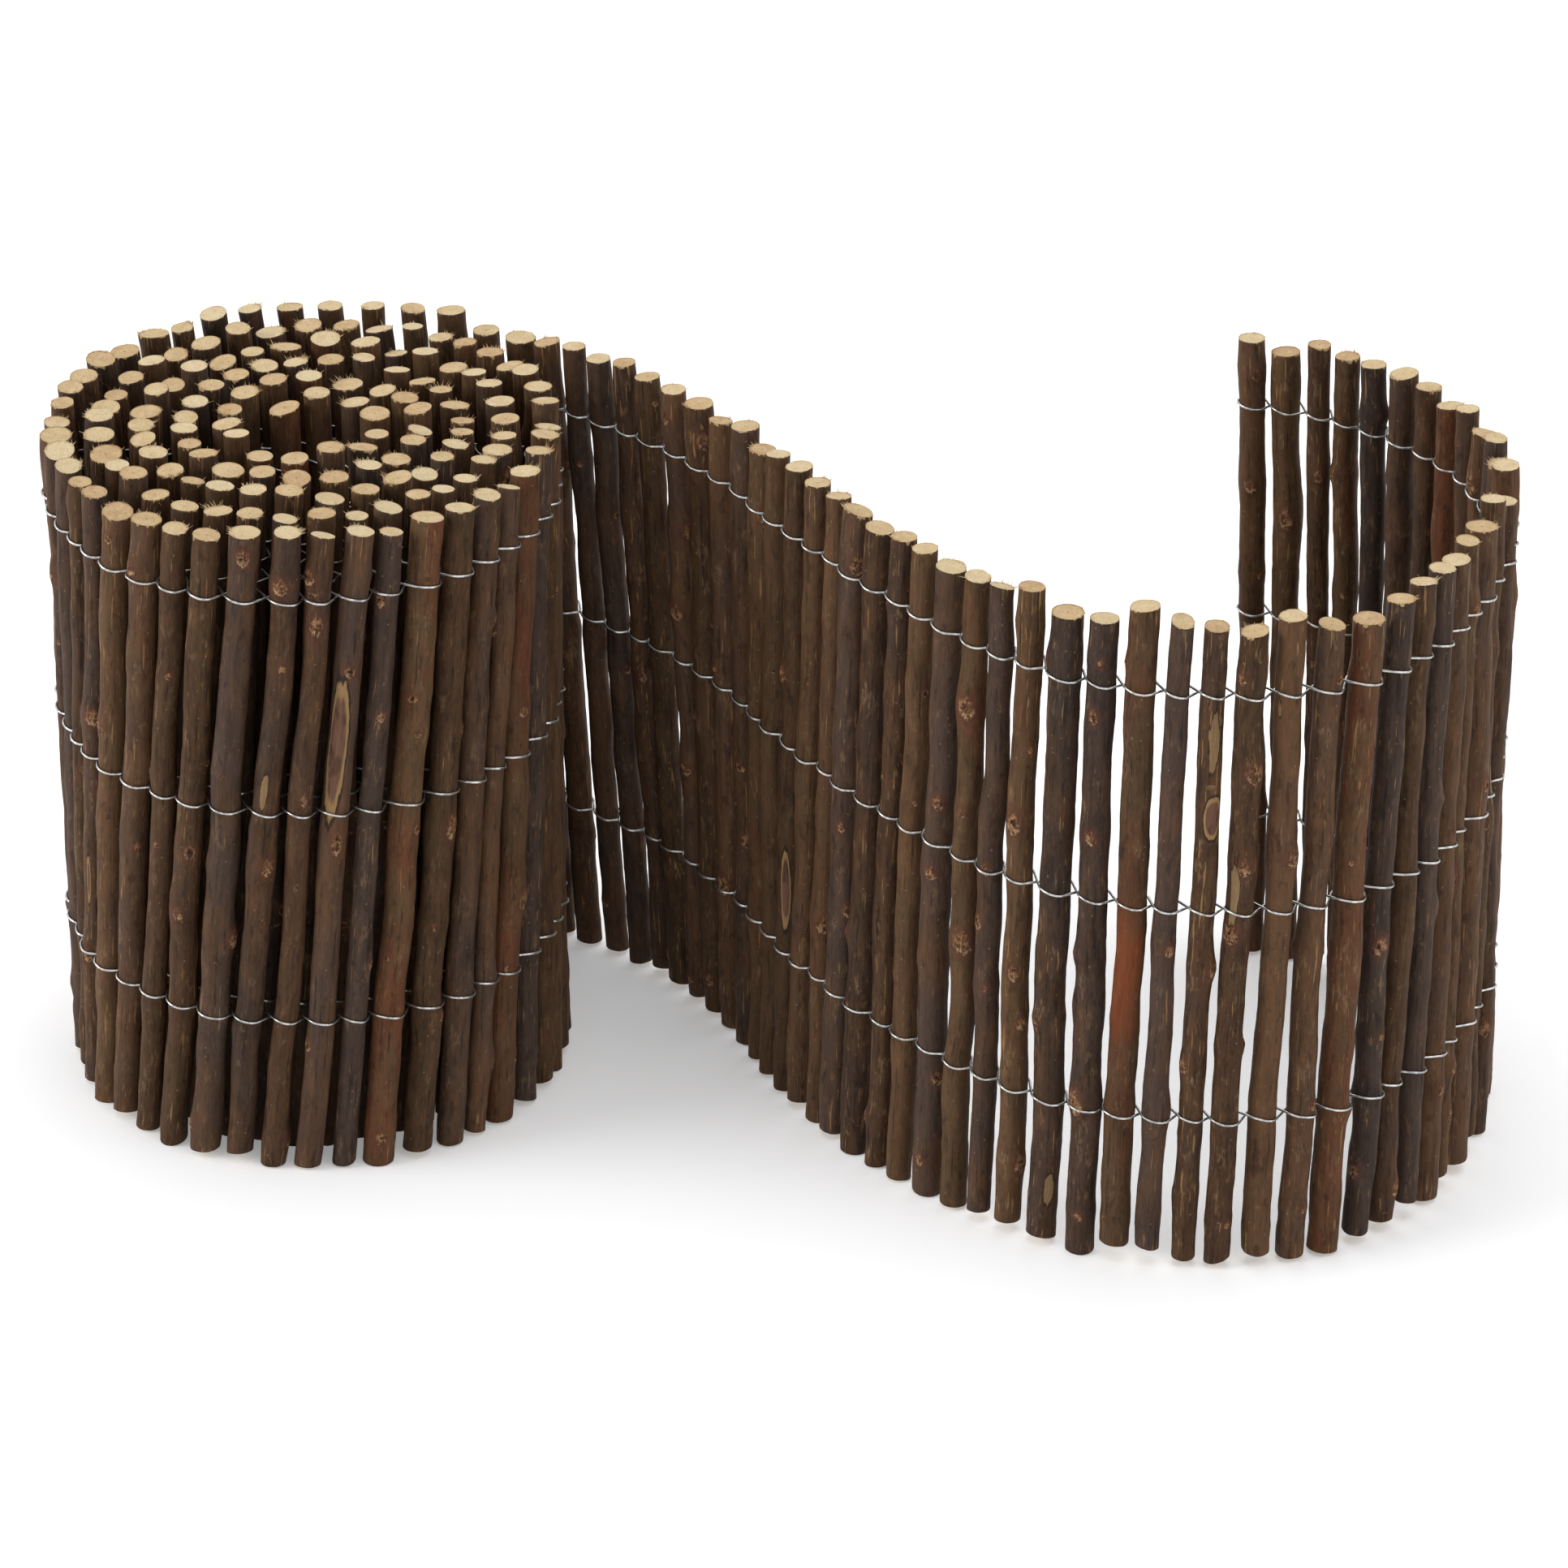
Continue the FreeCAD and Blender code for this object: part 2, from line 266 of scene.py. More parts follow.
def srgb(red: int, green: int, blue: int, alpha: float = 1.0) -> Colour:
    """Linear colour from display values.

    Args:
        red: red part, 0 to 255.
        green: green part.
        blue: blue part.
        alpha: opacity, kept as it is.

    Returns:
        The linear colour.
    """
    linear = []
    for share in (red / 255, green / 255, blue / 255):
        linear.append(share / 12.92 if share <= 0.04045 else ((share + 0.055) / 1.055) ** 2.4)
    return (*linear, alpha)


def even_grey(level: float) -> Colour:
    """Opaque grey of a linear level."""
    return level, level, level, 1.0


# Finishes


@dataclass
class BarkFinish:
    """Dried willow bark: dark brown with a faint grain, pale flecks, knots and peeled patches.

    The scales say how many waves or cells fit in a metre, across the rod twice and along it.
    """

    brown: Colour = srgb(94, 67, 46)
    grey_brown: Colour = srgb(77, 61, 52)
    red_brown: Colour = srgb(100, 62, 41)
    olive_brown: Colour = srgb(92, 70, 48)
    scuff: Colour = srgb(132, 106, 78)
    fissure: Colour = srgb(30, 21, 17)
    fleck: Colour = srgb(166, 128, 84)
    dust: Colour = srgb(142, 120, 98)
    knot_flesh: Colour = srgb(158, 118, 82)
    knot_red: Colour = srgb(96, 57, 42)
    knot_ridge: Colour = srgb(196, 160, 120)
    lip: Colour = srgb(158, 126, 84)
    fibre: Colour = srgb(196, 166, 122)
    streak_scale: Triple = (560, 560, 30)
    fine_scale: Triple = (1300, 1300, 240)
    cloud_scale: Triple = (60, 60, 20)
    patch_scale: Triple = (170, 170, 52)
    worn_scale: Triple = (210, 210, 85)
    thread_scale: Triple = (900, 900, 48)
    pore_scale: Triple = (300, 300, 250)
    ragged_scale: Triple = (560, 560, 460)
    tooth_scale: Triple = (420, 420, 220)
    tear_blur: float = 0.3 * MM

    def __post_init__(self) -> None:
        """Start the tree with the patterns that several marks share."""
        graph = Graph(bpy.data.materials.new("willow_bark"))
        self.graph = graph
        self.grain = graph.attribute("grain")
        self.hue, self.light, self.marks = graph.channels(graph.attribute("tint", out=0))
        self.rim = graph.attribute("rim", out=2)
        self.streak = graph.noise(self.grain, self.streak_scale, 5.0, 0.62)
        self.fine = graph.noise(self.grain, self.fine_scale, 4.0, 0.7)
        self.cloud = graph.noise(self.grain, self.cloud_scale, 4.0, 0.6)
        self.patch = graph.noise(self.grain, self.patch_scale, 3.0, 0.55)
        self.worn = graph.noise(self.grain, self.worn_scale, 3.0, 0.6)

    def material(self) -> bpy.types.Material:
        """Build the material.

        Returns:
            Bark that reads the rods' grain, tint, knot, peel, wound and rim attributes.
        """
        graph = self.graph
        tone = (self.hue + (self.cloud - 0.5) * 1.3).clamp()
        base = graph.ramp(tone, [(0.0, self.grey_brown), (0.4, self.brown),
                                 (0.7, self.olive_brown), (1.0, self.red_brown)])
        shade = (0.82 + (self.light - 0.5) * 0.46 + (self.streak - 0.5) * 0.9
                 + (self.fine - 0.5) * 1.1 + (self.patch - 0.5) * 0.8)
        graph.base = graph.shaded(base, shade)
        blush = self.patch.above(0.56, 0.74) * self.cloud.above(0.45, 0.65)
        graph.lay(blush * 0.5, self.red_brown)
        crack = self.streak.above(0.40, 0.32) * 0.5
        graph.lay(crack, self.fissure)
        scuffs = self.worn.above(0.56, 0.68) * self.fine.above(0.42, 0.58)
        graph.lay(scuffs * (0.25 + self.marks * 0.4), self.scuff)
        graph.lay(self.worn.above(0.42, 0.30) * 0.45, self.fissure)
        flecks = self._flecks()
        graph.lay(flecks, self.fleck)
        graph.lay(self._pores(), self.dust)
        knots = self._knots()
        bare = self._wounds()
        self._torn_rims()
        relief = self.streak * 0.55 + self.fine * 0.3 - crack * 0.5 + flecks * 0.2 + knots - bare * 0.3
        return graph.finish({
            "Roughness": (0.50 + self.fine * 0.35).clamp(),
            "Specular IOR Level": 0.14,
            "Normal": graph.bump(relief, 0.7, 0.6 * MM),
        })

    def _flecks(self) -> Term:
        """Thin pale splits along the rod, thicker near its ends and on rods with many marks.

        Returns:
            How much they show.
        """
        threads = self.graph.noise(self.grain, self.thread_scale, 2.0, 0.5)
        near_end = self.rim.above(26 * MM, 2 * MM) * 0.16
        crowd = (self.patch + (self.marks - 0.5) * 0.34 + near_end).above(0.46, 0.66)
        return threads.above(0.635, 0.69) * crowd * 0.6

    def _pores(self) -> Term:
        """Scattered pale breathing pores, a little wider than tall.

        Returns:
            How much they show.
        """
        lattice = self.graph.stretched(self.grain, self.pore_scale)
        near = self.graph.cells(lattice, 0)
        lot = self.graph.channels(self.graph.cells(lattice, 1))[0]
        return near.above(0.15, 0.08) * lot.above(0.74, 0.80) * 0.55

    def _knots(self) -> Term:
        """Lay the knots over the bark.

        Returns:
            How far they stand up.
        """
        graph = self.graph
        offset = graph.attribute("knot")
        ragged = graph.noise(self.grain, self.ragged_scale, 4.0, 0.7)
        warped = graph.noise(offset, (1.4, 1.4, 1.4), 3.0, 0.6)
        depth = graph.length(offset) + (ragged - 0.5) * 1.6 + (warped - 0.5) * 1.2
        height = graph.channels(offset)[2]
        halo = depth.above(1.9, 0.9) * 0.42
        flesh = depth.above(1.0, 0.72) * ragged.above(0.36, 0.52)
        mottle = (ragged * 1.1 + self.fine * 0.5 - 0.3).clamp()
        colour = graph.ramp(mottle, [(0.25, self.fissure), (0.42, self.knot_red),
                                     (0.60, self.knot_flesh), (0.9, self.knot_ridge)])
        ridge = depth.above(0.52, 0.70) * depth.above(1.05, 0.84) * height.above(0.1, -0.5)
        heart = (depth + (self.fine - 0.5) * 0.4).above(0.30, 0.14)
        graph.lay(halo, self.knot_red)
        graph.lay(flesh * 0.85, colour)
        graph.lay(ridge * ragged.above(0.44, 0.56) * 0.75, self.knot_ridge)
        graph.lay(heart * 0.85, self.fissure)
        return ridge * 1.2 + flesh * ragged * 1.4 - heart * 1.4

    def _wounds(self) -> Term:
        """Lay the peeled patches and scars over the bark.

        The alpha of the wound attribute tells a clean peel, 0, from a stain, 0.5, and a scar, 1.

        Returns:
            Where the bark is gone.
        """
        graph = self.graph
        kind = graph.attribute("wound", out=3)
        mottled = kind.above(0.7, 0.9)
        stain = kind.above(0.3, 0.4) * (1 - mottled)
        uneven = (self.streak - 0.5) * 1.1 + (self.patch - 0.5) * 0.9 + (self.fine - 0.5) * 0.5
        edge = graph.length(graph.attribute("peel")) + uneven * (1 - mottled * 0.7)
        bare = edge.above(0.96, 0.90) * (1 - stain) + edge.above(1.2, 0.45) * stain * 0.8
        lip = edge.above(1.10, 1.0) * (1 - bare) * (1 - stain)
        rim = edge.above(0.66, 0.78) * bare * mottled
        shade = 0.20 + self.streak * 0.9 + self.fine * 0.7
        flesh = graph.shaded(graph.attribute("wound", out=0), shade)
        blotches = self.patch.above(0.50, 0.42) * mottled * 0.45
        flesh = graph.blend(blotches, flesh, self.fissure)
        flesh = graph.blend(rim * 0.85, flesh, self.lip)
        graph.lay(lip * 0.7, self.fissure)
        graph.lay(bare, flesh)
        return bare

    def _torn_rims(self) -> None:
        """Show wood where the saw tore the bark at either end."""
        tooth = self.graph.noise(self.grain, self.tooth_scale, 3.0, 0.6)
        reach = (tooth - 0.50) * (3.0 + self.marks * 9.0) * MM
        torn = ((reach - self.rim) * (1 / self.tear_blur)).clamp()
        self.graph.lay(torn * 0.85, self.fibre)


@dataclass(frozen=True)
class SawnFinish:
    """Rough-sawn willow across the grain, cream where clean and tan where weathered."""

    cream: Colour = srgb(214, 195, 158)
    straw: Colour = srgb(201, 175, 134)
    weathered: Colour = srgb(182, 147, 109)
    pit: Colour = srgb(126, 92, 62)

    def material(self) -> bpy.types.Material:
        """Build the material.

        Returns:
            Sawn wood with a granular face, faint rings, a small pith and a darker edge.
        """
        graph = Graph(bpy.data.materials.new("sawn_willow"))
        grain = graph.attribute("grain")
        marks = graph.channels(graph.attribute("tint", out=0))[2]
        radius = graph.length(graph.attribute("across"))
        speck = graph.noise(grain, (1500, 1500, 1500), 3.0, 0.75)
        cloud = graph.noise(grain, (230, 230, 230), 3.0, 0.6)
        saw = graph.noise(grain, (1900, 260, 260), 2.0, 0.6)
        age = (marks * 0.75 + (cloud - 0.5) * 1.1).clamp()
        base = graph.ramp(age, [(0.0, self.cream), (0.5, self.straw), (1.0, self.weathered)])
        rings = graph.add("ShaderNodeMath", {"operation": "SINE"}, {0: radius * 24 + cloud * 9})
        graph.base = graph.shaded(base, 0.72 + speck * 0.36 + saw * 0.18 + rings * 0.02)
        pith = (radius + (speck - 0.5) * 0.16).above(0.11, 0.05) * marks.above(0.2, 0.8)
        graph.lay(pith * 0.5, self.pit)
        graph.lay(speck.above(0.42, 0.33) * 0.5, self.pit)
        edge = (radius + (speck - 0.5) * 0.14).above(0.85, 0.97)
        graph.lay(edge * (0.35 + marks * 0.4), self.pit)
        return graph.finish({
            "Roughness": 0.85,
            "Specular IOR Level": 0.2,
            "Normal": graph.bump(speck + saw * 0.5 + cloud * 0.6, 0.6, 0.4 * MM),
        })


@dataclass(frozen=True)
class WireFinish:
    """Bright galvanised wire with faint dull patches of zinc."""

    bright: Colour = srgb(204, 204, 201)
    dull: Colour = srgb(138, 139, 138)

    def material(self) -> bpy.types.Material:
        """Build the material.

        Returns:
            Metal whose zinc varies along the wire.
        """
        graph = Graph(bpy.data.materials.new("galvanised_wire"))
        place = graph.add("ShaderNodeTexCoord", out=3)
        zinc = graph.noise(place, (420, 420, 420), 3.0, 0.6)
        graph.base = graph.blend(zinc.above(0.35, 0.7), self.bright, self.dull)
        return graph.finish({
            "Metallic": 1.0,
            "Roughness": (0.22 + zinc * 0.22).clamp(),
            "Normal": graph.bump(zinc, 0.15, 0.05 * MM),
        })


# Viewpoint


@dataclass(frozen=True)
class Viewpoint:
    """Where the photograph was taken from, looking along +Y and down."""

    place: Triple = (0.00316, -2.62619, 1.5188)
    pitch: float = math.radians(27.60)
    focal_pixels: float = 8441.0
    photo_side: int = 1932

    def project(self, spot: Vector) -> Triple:
        """Find a point in the photograph.

        Args:
            spot: the point in metres.

        Returns:
            Its column and row in the photograph and its depth.
        """
        away = spot - Vector(self.place)
        depth = away.y * math.cos(self.pitch) - away.z * math.sin(self.pitch)
        rise = away.y * math.sin(self.pitch) + away.z * math.cos(self.pitch)
        half = self.photo_side / 2
        return half + self.focal_pixels * away.x / depth, half - self.focal_pixels * rise / depth, depth


# Rods


class MarkKind(Enum):
    """Kinds of mark that a rod's bark can carry."""

    KNOT = "knot"
    STUB = "stub"
    PEEL = "peel"
    ORANGE = "orange"
    SCAR = "scar"


PEEL_COLOURS = {
    MarkKind.PEEL: srgb(134, 108, 76, alpha=0.0),
    MarkKind.ORANGE: srgb(120, 62, 34, alpha=0.5),
    MarkKind.SCAR: srgb(108, 78, 62, alpha=1.0),
}
KNOT_SWELL = {MarkKind.KNOT: 0.7 * MM, MarkKind.STUB: 1.6 * MM}


@dataclass(frozen=True)
class PhotoMark:
    """A mark that the photograph shows, by its middle and size in photograph pixels."""

    column: float
    row: float
    wide: float
    tall: float
    kind: MarkKind = MarkKind.KNOT


PHOTO_MARKS = (
    PhotoMark(column=408, row=924, wide=30, tall=186, kind=MarkKind.SCAR),
    PhotoMark(column=388, row=771, wide=20, tall=30),
    PhotoMark(column=434, row=829, wide=17, tall=15),
    PhotoMark(column=472, row=884, wide=13, tall=14),
    PhotoMark(column=380, row=986, wide=10, tall=20),
    PhotoMark(column=422, row=1041, wide=15, tall=32),
    PhotoMark(column=345, row=826, wide=12, tall=12),
    PhotoMark(column=501, row=862, wide=18, tall=12),
    PhotoMark(column=297, row=690, wide=20, tall=26),
    PhotoMark(column=205, row=833, wide=10, tall=10),
    PhotoMark(column=337, row=1070, wide=18, tall=24, kind=MarkKind.STUB),
    PhotoMark(column=235, row=1050, wide=16, tall=20),
    PhotoMark(column=1186, row=872, wide=30, tall=30, kind=MarkKind.STUB),
    PhotoMark(column=1151, row=992, wide=20, tall=20),
    PhotoMark(column=1240, row=1015, wide=26, tall=32),
    PhotoMark(column=1183, row=1160, wide=30, tall=32, kind=MarkKind.STUB),
    PhotoMark(column=1211, row=1071, wide=11, tall=16),
    PhotoMark(column=1248, row=1201, wide=17, tall=22),
    PhotoMark(column=962, row=1098, wide=15, tall=106, kind=MarkKind.SCAR),
    PhotoMark(column=1502, row=918, wide=16, tall=82, kind=MarkKind.PEEL),
    PhotoMark(column=1503, row=1008, wide=28, tall=60, kind=MarkKind.SCAR),
    PhotoMark(column=1511, row=1096, wide=14, tall=90, kind=MarkKind.PEEL),
    PhotoMark(column=1508, row=1152, wide=26, tall=26),
    PhotoMark(column=1565, row=904, wide=19, tall=15),
    PhotoMark(column=1566, row=872, wide=8, tall=34, kind=MarkKind.PEEL),
    PhotoMark(column=1534, row=1070, wide=20, tall=24, kind=MarkKind.STUB),
    PhotoMark(column=1370, row=1205, wide=62, tall=190, kind=MarkKind.ORANGE),
    PhotoMark(column=1340, row=885, wide=14, tall=20),
    PhotoMark(column=1580, row=640, wide=22, tall=30, kind=MarkKind.STUB),
    PhotoMark(column=1300, row=1466, wide=16, tall=50, kind=MarkKind.PEEL),
    PhotoMark(column=1160, row=1330, wide=18, tall=20),
)


@dataclass
class Blemish:
    """A knot or a peeled patch on a rod.

    The place is in the rod's own frame, metres from its foot, and the reach gives its half sizes.
    """

    place: Vector
    reach: Vector
    swell: float = 0.0
    colour: Colour = PEEL_COLOURS[MarkKind.PEEL]

    def offset(self, spot: Vector) -> Vector:
        """Place of a spot in units of the blemish's reach."""
        away = spot - self.place
        return Vector((away.x / self.reach.x, away.y / self.reach.y, away.z / self.reach.z))


FAR_AWAY = Vector((5.0, 5.0, 5.0))
NEAR_LIMIT = 3.0


def ray(angle: float) -> Vector:
    """Level unit vector at an angle from +X."""
    return Vector((math.cos(angle), math.sin(angle), 0.0))


@dataclass
class Rod:
    """One willow rod: where it stands, and the chance shape of its bark."""

    number: int
    stretch: Stretch
    foot: Vector
    head: Vector
    radius: float
    sway: float = 0.6 * MM
    knots: list[Blemish] = field(default_factory=list)
    peels: list[Blemish] = field(default_factory=list)
    knot_slot: float = 42.0 * MM
    knot_chance: float = 0.8
    knot_sizes: tuple[float, ...] = (1.2, 1.6, 2.0, 2.4, 2.8, 3.4, 4.0)
    most_swell: float = 1.3 * MM
    stub_chance: float = 0.08
    stub_reach: float = 2.0 * MM
    peel_chance: float = 0.10
    peel_depth: float = 0.3 * MM
    base_share: float = 0.955
    lump_height: float = 17 * MM
    lump_share: float = 0.068
    ridge_share: float = 0.036
    bow_height: float = 95 * MM
    kink_height: float = 34 * MM
    steepest_cut: float = math.radians(17)

    def __post_init__(self) -> None:
        """Draw the rod's chance features, the same on every run."""
        chance = random.Random(1700 + self.number)
        self.length = self.head.z - self.foot.z
        self.oval = chance.uniform(0.0, 0.05)
        self.oval_angle = chance.uniform(0, FULL_TURN)
        self.taper = chance.uniform(-0.05, 0.05)
        self.tint = (chance.gauss(0.38, 0.26), chance.random(), chance.random(), 1.0)
        self.drift = Vector((chance.uniform(-9, 9), chance.uniform(-9, 9), chance.uniform(-9, 9)))
        self._draw_cuts(chance)
        self.fray = chance.random() ** 1.4
        self.fray_angle = chance.uniform(0, FULL_TURN)
        slots = round(self.length / self.knot_slot)
        for slot in range(slots):
            if chance.random() < self.knot_chance:
                self.knots.append(self._draw_knot(chance, (slot + 0.5) / slots))
        if chance.random() < self.peel_chance:
            self.peels.append(self._draw_peel(chance))

    def _draw_cuts(self, chance: random.Random) -> None:
        """Saw the head about square to the leaning rod, some more askew, and the foot anyhow."""
        lean = (self.head - self.foot) / self.length
        askew = abs(chance.gauss(0, math.radians(6)))
        way = chance.uniform(0, FULL_TURN)
        slope = (ray(way) * askew - lean).to_2d()
        self.cut_tilt = math.atan(min(slope.length, math.tan(self.steepest_cut)))
        self.cut_angle = math.atan2(slope.y, slope.x)
        self.foot_tilt = math.radians(chance.triangular(0, 15, 5))
        self.foot_angle = chance.uniform(0, FULL_TURN)

    def _draw_knot(self, chance: random.Random, share: float) -> Blemish:
        """Draw a bud scar or the swelling round a lost twig, near a share of the rod's length."""
        size = chance.choice(self.knot_sizes) * chance.uniform(0.85, 1.15) * MM
        angle = chance.uniform(0, FULL_TURN)
        height = share * self.length + chance.uniform(-12, 12) * MM
        place = self.on_side(angle, height)
        reach = Vector((size, size, size * chance.uniform(0.9, 1.5)))
        if chance.random() < self.stub_chance:
            return Blemish(place, Vector((1, 1, 1)) * self.stub_reach, chance.uniform(1.2, 1.7) * MM)
        return Blemish(place, reach, min(self.most_swell, size * chance.uniform(0.2, 0.6)))

    def _draw_peel(self, chance: random.Random) -> Blemish:
        """Draw a narrow patch where the bark has come off."""
        angle = chance.uniform(0, FULL_TURN)
        height = chance.uniform(0.1, 0.9) * self.length
        width = chance.uniform(0.9, 2.0) * MM
        tall = chance.uniform(6, 20) * MM
        colour = PEEL_COLOURS[chance.choice((MarkKind.PEEL, MarkKind.PEEL, MarkKind.SCAR))]
        return Blemish(self.on_side(angle, height), Vector((width, width, tall)), 0.0, colour)

    def on_side(self, angle: float, height: float) -> Vector:
        """Place on the side of the plain round rod, in the rod's own frame."""
        return Vector((math.cos(angle) * self.radius, math.sin(angle) * self.radius, height))

    def carry(self, mark: PhotoMark, hit: Hit, pixel: float, slant: float) -> None:
        """Put a mark of the photograph on this rod.

        Args:
            mark: the mark.
            hit: where it falls.
            pixel: width of one photograph pixel there, in metres.
            slant: how much an upright length is foreshortened.
        """
        half_wide = mark.wide * pixel / 2
        half_tall = mark.tall * pixel / 2 / slant
        place = self.on_side(hit.angle, hit.height)
        reach = Vector((half_wide, half_wide, half_tall))
        self.knots = [knot for knot in self.knots
                      if abs(knot.place.z - hit.height) > half_tall + 3 * knot.reach.z]
        if mark.kind in KNOT_SWELL:
            self.knots.append(Blemish(place, reach, KNOT_SWELL[mark.kind]))
        else:
            self.peels.append(Blemish(place, reach, 0.0, PEEL_COLOURS[mark.kind]))

    def centre(self, height: float) -> Vector:
        """Point on the crooked axis at a height above the foot."""
        return self.foot.lerp(self.head, height / self.length) + self._bow(height)

    def _bow(self, height: float) -> Vector:
        """Long bow and shorter kinks of the axis, which fade out towards its ends.

        Args:
            height: where, above the foot.

        Returns:
            How far the axis is off its chord, about the sway at most.
        """
        share = height / self.length
        fade = max(0.0, min(1.0, 6 * share, 6 * (1 - share)))
        slow = Vector((self.drift.x, height / self.bow_height, 0.0))
        quick = Vector((self.drift.y, height / self.kink_height, 4.0))
        long_bow = Vector((noise.noise(slow), noise.noise(slow + Vector((0, 0, 7.3))), 0.0))
        kinks = Vector((noise.noise(quick), noise.noise(quick + Vector((0, 0, 5.1))), 0.0))
        return (long_bow * 1.7 + kinks * 0.75) * (self.sway * fade)

    def girth(self, angle: float, height: float) -> float:
        """Measure the rod with its lumps, knots and peels.

        Args:
            angle: direction from the axis.
            height: height above the foot.

        Returns:
            Distance from the axis to the bark.
        """
        spot = Vector((math.cos(angle), math.sin(angle), height / self.lump_height)) + self.drift
        lobes = noise.noise(spot * 1.1) * self.lump_share + noise.noise(spot * 3.1) * self.ridge_share
        oval = self.oval * (math.cos(2 * (angle - self.oval_angle)) - 1) / 2
        taper = self.taper * (height / self.length - 0.5)
        reach = self.radius * (self.base_share + lobes + oval + taper)
        surface = self.on_side(angle, height)
        for knot in self.knots:
            away = knot.offset(surface)
            if abs(away.z) < 6:
                reach += knot.swell * math.exp(-0.55 * away.length_squared)
                reach += knot.swell * 0.42 * math.exp(-0.16 * away.z * away.z)
        for peel in self.peels:
            away = peel.offset(surface).length_squared
            reach -= self.peel_depth * math.exp(-1.1 * away * away)
        return reach

    def head_drop(self, angle: float, reach: float) -> float:
        """How far the saw cut at the head lies below its highest point."""
        across = math.cos(angle - self.cut_angle) * reach
        return math.tan(self.cut_tilt) * max(0.0, self.radius - across)

    def foot_rise(self, angle: float, reach: float) -> float:
        """How far the saw cut at the foot lies above its lowest point."""
        across = math.cos(angle - self.foot_angle) * reach
        return math.tan(self.foot_tilt) * max(0.0, self.radius - across)

    def nearest(self, blemishes: list[Blemish], spot: Vector) -> tuple[Vector, Blemish | None]:
        """Find the nearest blemish to a spot.

        Args:
            blemishes: the ones to choose from.
            spot: a place in the rod's frame.

        Returns:
            The offset from it in units of its reach, or a far one, and the blemish.
        """
        best, owner = FAR_AWAY, None
        for blemish in blemishes:
            offset = blemish.offset(spot)
            if offset.length < min(best.length, NEAR_LIMIT):
                best, owner = offset, blemish
        return best, owner


@dataclass(frozen=True)
class Hit:
    """Where a mark falls on a rod, how deep in the view, and how many radii off its middle."""

    rod: Rod
    angle: float
    height: float
    depth: float
    miss: float


@dataclass
class MarkPlacer:
    """Finds the rod and the place on it for each mark of the photograph."""

    view: Viewpoint
    widest_miss: float = 1.2
    hopeless_miss: float = 5.0
    miss_cost: float = 30 * MM
    draw_in: float = 0.5
    end_share: float = 0.02
    rounds: int = 8

    def place_all(self, rods: list[Rod]) -> None:
        """Put every mark on the nearest rod that faces the photograph there."""
        slant = math.cos(self.view.pitch)
        placed = 0
        for mark in PHOTO_MARKS:
            hits = [hit for rod in rods if (hit := self._aim(rod, mark, slant))]
            if hits:
                best = min(hits, key=lambda hit: hit.depth + hit.miss * self.miss_cost)
                best.rod.carry(mark, best, best.depth / self.view.focal_pixels, slant)
                placed += 1
        log.info("%d of %d marks of the photograph placed", placed, len(PHOTO_MARKS))

    def _aim(self, rod: Rod, mark: PhotoMark, slant: float) -> Hit | None:
        """Walk to the point of a rod's surface that shows at the mark's middle, or a little inside.

        Args:
            rod: the rod.
            mark: the mark.
            slant: how much an upright length is foreshortened.

        Returns:
            The point, or nothing where the rod misses the mark.
        """
        share = 0.5
        for _ in range(self.rounds):
            axis = rod.foot.lerp(rod.head, share)
            column, _, depth = self.view.project(axis)
            miss = (mark.column - column) * depth / self.view.focal_pixels / rod.radius
            if abs(miss) > self.hopeless_miss:
                return None
            toward = (Vector(self.view.place) - axis).to_2d()
            turn = math.asin(max(-1.0, min(1.0, miss * self.draw_in)))
            angle = math.atan2(toward.y, toward.x) + turn
            _, row, depth = self.view.project(axis + ray(angle) * rod.radius)
            share += (row - mark.row) * depth / self.view.focal_pixels / slant / rod.length
        if abs(miss) > self.widest_miss or not self.end_share < share < 1 - self.end_share:
            return None
        return Hit(rod, angle, share * rod.length, depth, abs(miss))


